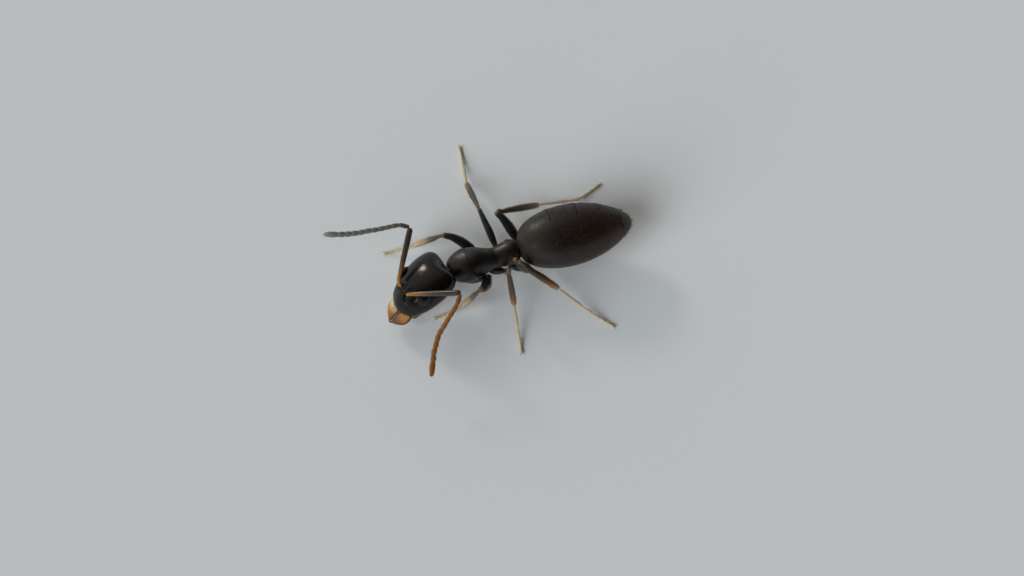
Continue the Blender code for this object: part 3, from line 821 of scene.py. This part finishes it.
TARSOMERES = (0.0, 0.44, 0.62, 0.75, 0.84, 1.0)  # where each joint of a foot starts, and the end
BEAD_LENGTHS = (1.5, *[0.9] * 9, 2.1)  # of a feeler, before they are scaled to fit
BEAD_WIDTH, BEAD_GROWTH = 0.86, 0.30  # at the root, and how much wider by the tip
BEAD = ((0.02, 0.72), (0.10, 0.84), (0.40, 0.97), (0.72, 1.0), (0.90, 0.95), (0.985, 0.74))
LAST_BEAD = ((0.01, 0.72), (0.06, 0.85), (0.25, 0.98), (0.50, 1.0), (0.75, 0.86), (0.90, 0.60), (0.985, 0.24))


def foot_outline():
    """Five joints, each flaring from a narrow neck to a wider mouth, the last one slim and long."""
    rings = []
    for start, end in zip(TARSOMERES, TARSOMERES[1:]):
        wide = 1.15 if end < 1 else 1.0
        shape = ((0.02, 0.58), (0.18, 0.70), (0.55, 0.86), (0.86, wide), (0.96, wide * 0.92), (0.995, 0.50))
        rings += [(start + (end - start) * at, width) for at, width in shape]
    return rings


def feeler_outline():
    """Eleven beads that widen towards the tip, the first and the last of them longer."""
    rings = []
    start = 0.0
    for number, length in enumerate(BEAD_LENGTHS, 1):
        run = length / sum(BEAD_LENGTHS)
        wide = BEAD_WIDTH + BEAD_GROWTH * min(1, start + run / 2)
        shape = LAST_BEAD if number == len(BEAD_LENGTHS) else BEAD
        rings += [(start + run * at, wide * width) for at, width in shape]
        start += run
    return rings


def limb_master(outline):
    stick = turned_stick(outline)
    modify(stick, "SUBSURF", levels=1)
    return stick


def lay(master, node, before, name, finish, ends=None, root=None):
    """Lays a copy of the master along a solid, from the solid before it, with the small pieces at its end."""
    line, radii = course_of(node, before)
    if root:
        line[0] = root
    piece = bent(master, line, max(radii[2:-2]))
    extras = list(ends(line, radii)) if ends else []
    COURSES[name] = line
    finish_piece(join([piece, *extras]), name, [node], finish)


CLAW_ROOT, CLAW_TIP = (-0.006, 0.006), (0.030, 0.026)  # forward and outward from the end of the foot
CLAW_HEIGHT, CLAW_RADIUS, CLAW_BOW = 0.002, 0.0048, 0.010
PAD_ROOT, PAD_TIP = -0.004, 0.012  # forward from the end of the foot
PAD_HEIGHT = PAD_RADIUS = 0.007
SPUR_START = 0.7  # how far below the shin's middle it starts, as a share of the radius there
SPUR_RADIUS, SPUR_BOW = 0.0050, 0.004
FRONT_SPUR, SPUR = 0.060, 0.040  # lengths
UP, DOWN = Vector((0, 0, 1)), Vector((0, 0, -1))


def claws(line, radii):
    """Two claws that spread and hook down at the end of a foot, with the pad between them."""
    tip = line[-1]
    ahead = (line[-1] - line[-4]).normalized()
    across = ahead.cross(UP).normalized()
    for sign in (1, -1):
        root, point = (tip + ahead * forward * MM + across * sign * out * MM
                       for forward, out in (CLAW_ROOT, CLAW_TIP))
        point.z = CLAW_HEIGHT * MM
        yield horn(root, point, CLAW_RADIUS * MM, UP * CLAW_BOW * MM)
    pad = tip + ahead * PAD_TIP * MM
    pad.z = max(pad.z, PAD_HEIGHT * MM)
    yield horn(tip + ahead * PAD_ROOT * MM, pad, PAD_RADIUS * MM)


def spur_of(length):
    """The comb spur at the end of a shin, on the side of the foot."""
    def spur(line, radii):
        ahead = (line[-1] - line[-4]).normalized()
        down = (DOWN - ahead * ahead.dot(DOWN)).normalized()
        root = line[-2] + down * radii[-3] * SPUR_START
        tip = root + (ahead * 0.9 + down * 0.45).normalized() * length * MM
        yield horn(root, tip, SPUR_RADIUS * MM, down * SPUR_BOW * MM)
    return spur


def make_legs():
    femur, tibia, foot = (limb_master(outline) for outline in (FEMUR_OUTLINE, TIBIA_OUTLINE, foot_outline()))
    for pair in PAIRS:
        shin, spur = (PALE_TIBIA_CHITIN, FRONT_SPUR) if pair == "front" else (TIBIA_CHITIN, SPUR)
        for side in SIDES:
            leg = pair + "_" + side
            hip = plate_from("coxa_" + leg)
            finish_piece(hip, "hip_" + leg, ["coxa_" + leg], COXA_CHITIN)
            lay(femur, "femur_" + leg, "coxa_" + leg, "thigh_" + leg, FEMUR_CHITIN)
            lay(tibia, "tibia_" + leg, "femur_" + leg, "shin_" + leg, shin, spur_of(spur))
            lay(foot, "tarsus_" + leg, "tibia_" + leg, "foot_" + leg, TARSUS_CHITIN, claws)
    discard(femur, tibia, foot)


def make_feelers():
    scape, feeler = limb_master(SCAPE_OUTLINE), limb_master(feeler_outline())
    for side, beads in (("left", AMBER_FUNICULUS_CHITIN), ("right", DARK_FUNICULUS_CHITIN)):
        lay(scape, "scape_" + side, "head", "feeler_shaft_" + side, SCAPE_CHITIN,
            root=SOCKETS[side])
        lay(feeler, "funiculus_" + side, "scape_" + side, "feeler_" + side, beads)
    discard(scape, feeler)


# ---- hairs

RANDOM = np.random.default_rng(11)
SWING = 14  # how far hairs stray sideways, in degrees
LEANS, LENGTHS = (0.6, 1.4), (0.7, 1.25)  # least and most shares of a given lean and length
ROOTED = 0.001  # how far below the surface a hair starts
BOW_BACK = 0.55  # how much of its rise a hair bends back down by its tip
PATCH = 0.003  # width of a hair's own patch on the map of roots
# Number, length, lean off the surface in degrees and radius. Real hairs are finer, too fine to show.
HAIRS = {
    "gaster": (3400, 0.032, 12, 0.0008), "bristle": (350, 0.075, 50, 0.0018),
    "head": (2200, 0.025, 13, 0.0006), "jaw": (1000, 0.030, 30, 0.0009), "mouth": (700, 0.075, 22, 0.0014),
    "trunk": (2000, 0.027, 16, 0.0008), "hip": (900, 0.030, 24, 0.0009), "thigh": (1500, 0.030, 20, 0.0009),
    "shin": (2000, 0.032, 26, 0.0009), "foot": (2600, 0.014, 26, 0.0009), "feeler": (3200, 0.022, 32, 0.0009),
}
MOUTH_START = 0.27  # how far forward of the eyes the long hairs begin


def hair_master():
    """Points and faces of one hair: three sided, one long and one thick, tapering to a point."""
    hair = turned_stick(((0.0, 1.0), (0.5, 0.72), (1.0, 0.08)), sides=3)
    points, faces = points_of(hair), [list(face.vertices) for face in hair.data.polygons]
    discard(hair)
    return points, faces


HAIR_POINTS, HAIR_FACES = hair_master()


def unwrap_of(piece):
    """The piece's triangles: the places, normals and unwrapped places of their corners."""
    copy = new_object("unwrap", piece.data.copy())
    for layer in list(copy.data.uv_layers):
        copy.data.uv_layers.remove(layer)
    open_mesh(copy, "FACE")
    bpy.ops.uv.smart_project(angle_limit=math.radians(66), island_margin=0.01)
    deselect()
    mesh = copy.data
    mesh.calc_loop_triangles()
    corners, loops = (read(mesh.loop_triangles, kind, 3, np.int32) for kind in ("vertices", "loops"))
    flat = read(mesh.uv_layers.active.data, "uv", 2)[loops]
    places, normals = points_of(copy)[corners], normals_of(copy)[corners]
    discard(copy)
    return places, normals, flat


def roots_on(piece, per_area, keep=None):
    """Seeded places over the piece, with the direction out of it and their place on its unwrap."""
    corners, normals, flat = unwrap_of(piece)
    areas = np.linalg.norm(np.cross(corners[:, 1] - corners[:, 0], corners[:, 2] - corners[:, 0]), axis=1) / 2
    count = int(areas.sum() / MM ** 2 * per_area)
    chosen = RANDOM.choice(len(areas), count, p=areas / areas.sum())
    first, second = RANDOM.random((2, count, 1))
    over = first + second > 1
    first, second = np.where(over, 1 - first, first), np.where(over, 1 - second, second)
    weights = np.stack([1 - first - second, first, second], axis=1)
    place, out, spot = ((values[chosen] * weights).sum(axis=1) for values in (corners, normals, flat))
    out /= np.linalg.norm(out, axis=1, keepdims=True)
    if keep:
        kept = keep(place)
        place, out, spot = place[kept], out[kept], spot[kept]
    return place, out, spot


def hairs_on(name, kind, lay_to, keep=None):
    """Shapes of one kind's hairs on a finished piece: they lean off its surface and bow back to it."""
    density, length, lean, radius = HAIRS[kind]
    place, out, spot = roots_on(PIECES[name], density, keep)
    count = len(place)
    toward = np.broadcast_to(np.array(lay_to, float), (count, 3))
    along = toward - out * (toward * out).sum(axis=1, keepdims=True)
    along /= np.maximum(np.linalg.norm(along, axis=1, keepdims=True), 1e-9)
    across = np.cross(out, along)
    swing = np.radians(RANDOM.normal(0, SWING, count))[:, None]
    along = along * np.cos(swing) + across * np.sin(swing)
    across = np.cross(out, along)
    tilt = np.radians(lean * RANDOM.uniform(*LEANS, count))[:, None]
    axis = along * np.cos(tilt) + out * np.sin(tilt)
    over = out * np.cos(tilt) - along * np.sin(tilt)
    size = (length * MM * RANDOM.uniform(*LENGTHS, count))[:, None, None]
    ahead, aside, above = (HAIR_POINTS[None, :, column:column + 1] for column in range(3))
    thick = radius * MM
    bow = ahead ** 2 * size * np.sin(tilt)[:, None] * BOW_BACK
    points = (place[:, None] - out[:, None] * ROOTED * MM + axis[:, None] * ahead * size
              + across[:, None] * aside * thick + over[:, None] * above * thick - out[:, None] * bow)
    return points, spot


def coat(name, batches, finish=SETA):
    """Joins batches of hairs into one piece; batches lie side by side on the map of their roots."""
    tiles = math.ceil(math.sqrt(len(batches)))
    points = np.concatenate([shapes for shapes, spot in batches])
    spots = np.concatenate([(spot + (index % tiles, index // tiles)) / tiles
                            for index, (shapes, spot) in enumerate(batches)])
    count, corners = points.shape[:2]
    faces = []
    for face in HAIR_FACES:
        faces += (np.arange(count)[:, None] * corners + np.array(face)[None]).tolist()
    mesh = bpy.data.meshes.new(name)
    mesh.from_pydata(points.reshape(-1, 3).tolist(), [], faces)
    piece = new_object(name, mesh)
    put_along(piece, np.tile(HAIR_POINTS[:, 0], count))
    layer = mesh.uv_layers.new(name="OFBake")
    at = read(mesh.loops, "vertex_index", kind=np.int32)
    patch = (HAIR_POINTS[:, :2] * (1.0, 0.5) + (-0.5, 0.0)) * PATCH
    flat = spots[at // corners] + patch[at % corners]
    layer.data.foreach_set("uv", flat.astype(np.float32).ravel())
    finish_piece(piece, name, [], finish, angle=DOME_ANGLE)


def over_mouth(places):
    return along_head(places, HEAD_FORWARD)[0] > MOUTH_START


def make_coats():
    """Fine hairs that lie along the body, shorter on the face and feet, and a few upright bristles."""
    rearward, ahead = (0, 1, 0), tuple(HEAD_FORWARD)
    gaster = [hairs_on("gaster_plate_%d" % number, "gaster", rearward) for number in range(1, 6)]
    coat("gaster_coat", [*gaster, hairs_on("gaster_plate_5", "bristle", rearward)])
    coat("head_coat", [hairs_on("head_capsule", "head", ahead)], DARK_SETA)
    jaws = [hairs_on("jaw_" + side, "jaw", ahead) for side in SIDES]
    coat("mouth_coat", [*jaws, hairs_on("head_capsule", "mouth", ahead, over_mouth)])
    trunk = [hairs_on(name, "trunk", rearward)
             for name in ("pronotum_plate", "mesothorax_plate", "propodeum_plate", "petiole_node")]
    hips = [hairs_on("hip_%s_%s" % (pair, side), "hip", DOWN) for pair in PAIRS for side in SIDES]
    coat("trunk_coat", trunk + hips)
    limbs = [hairs_on(name, name.split("_")[0], line[-1] - line[0]) for name, line in COURSES.items()]
    coat("limb_coat", limbs)


# ---- stage, light and camera

WINDOW_SIDE = Vector((-0.82, -0.33, 0.47)).normalized()
OVERHEAD = Vector((0.40, -0.75, 0.53))


def make_stage():
    """A floor of pale matt card, which shows only soft shadows."""
    floor = primitive("plane", size=2.0)
    floor.name = "floor"
    card, tree = new_tree(bpy.data.materials, "pale_card")
    surface(tree, {"Base Color": linear("#dde1e4"), "Roughness": 0.85})
    floor.data.materials.append(card)


def make_room():
    """A room: bright on the window's side and dark on the other, with a pale band round it at the horizon."""
    bpy.context.scene.world, tree = new_tree(bpy.data.worlds, "studio")
    where = add(tree, "TexCoord")
    across = add(tree, "VectorMath", {"operation": "DOT_PRODUCT", 1: WINDOW_SIDE}, {0: (where, "Generated")})
    share = add(tree, "MapRange", {"From Min": -1.0}, {"Value": (across, "Value")})
    stops = ((0.52, "#0b0d0f"), (0.76, "#292a2a"), (0.88, "#9b9d9b"), (1.0, "#d0d1cc"))
    shade = ramp(tree, stops, share, "Result")
    walls = add(tree, "Background", links={"Color": (shade, "Color")})
    band = add(tree, "Background", {"Color": linear("#babec1")})
    height = add(tree, "SeparateXYZ", links={"Vector": (where, "Generated")})
    above = add(tree, "MapRange", {"From Min": 0.16, "From Max": 0.36}, {"Value": (height, "Z")})
    both = add(tree, "MixShader", links={0: (above, "Result"), 1: (band, "Background"),
                                         2: (walls, "Background")})
    add(tree, "OutputWorld", links={"Surface": (both, "Shader")})


def soft_sun(name, toward, width, strength, tint, mirrored=True):
    """A far soft light from that direction, width degrees across, even over the whole floor.

    One that isn't mirrored lights the floor and the shadows but leaves no glare on the shell.
    """
    lamp = bpy.data.lights.new(name, "SUN")
    lamp.angle = math.radians(width)
    lamp.energy = strength
    lamp.color = linear(tint)[:3]
    light = new_object(name, lamp)
    light.rotation_euler = (-toward).to_track_quat("-Z", "Y").to_euler()
    light.visible_glossy = mirrored


VIEW_FROM = Vector((0.44389, -0.15284, 0.88295))  # the direction from the ant to the camera
LOOKED_AT = Vector((0.61230, 0.14580, 0.350)) * MM
CAMERA_DISTANCE = 0.08  # in metres
FRAME_WIDTH = 10.667  # across the view at the ant


def make_camera():
    lens = bpy.data.cameras.new("camera")
    camera = new_object("camera", lens)
    bpy.context.scene.camera = camera
    camera.location = LOOKED_AT + VIEW_FROM * CAMERA_DISTANCE
    camera.rotation_euler = (-VIEW_FROM).to_track_quat("-Z", "Y").to_euler()
    lens.sensor_width = 36
    lens.lens = lens.sensor_width * CAMERA_DISTANCE / (FRAME_WIDTH * MM)
    lens.clip_start, lens.clip_end = 0.01, 3.0


make_head()
for side in SIDES:
    make_eye(side)
make_mouth()
make_trunk()
make_gaster()
make_legs()
make_feelers()
make_coats()
make_stage()
make_room()
soft_sun("ceiling", OVERHEAD, 46, 2.45, "#fafcfd", mirrored=False)
soft_sun("window", WINDOW_SIDE, 12, 0.60, "#fff1de")
soft_sun("glint", OVERHEAD, 9, 0.12, "#fbfdff")
make_camera()
bpy.context.scene.view_settings.view_transform = "Standard"
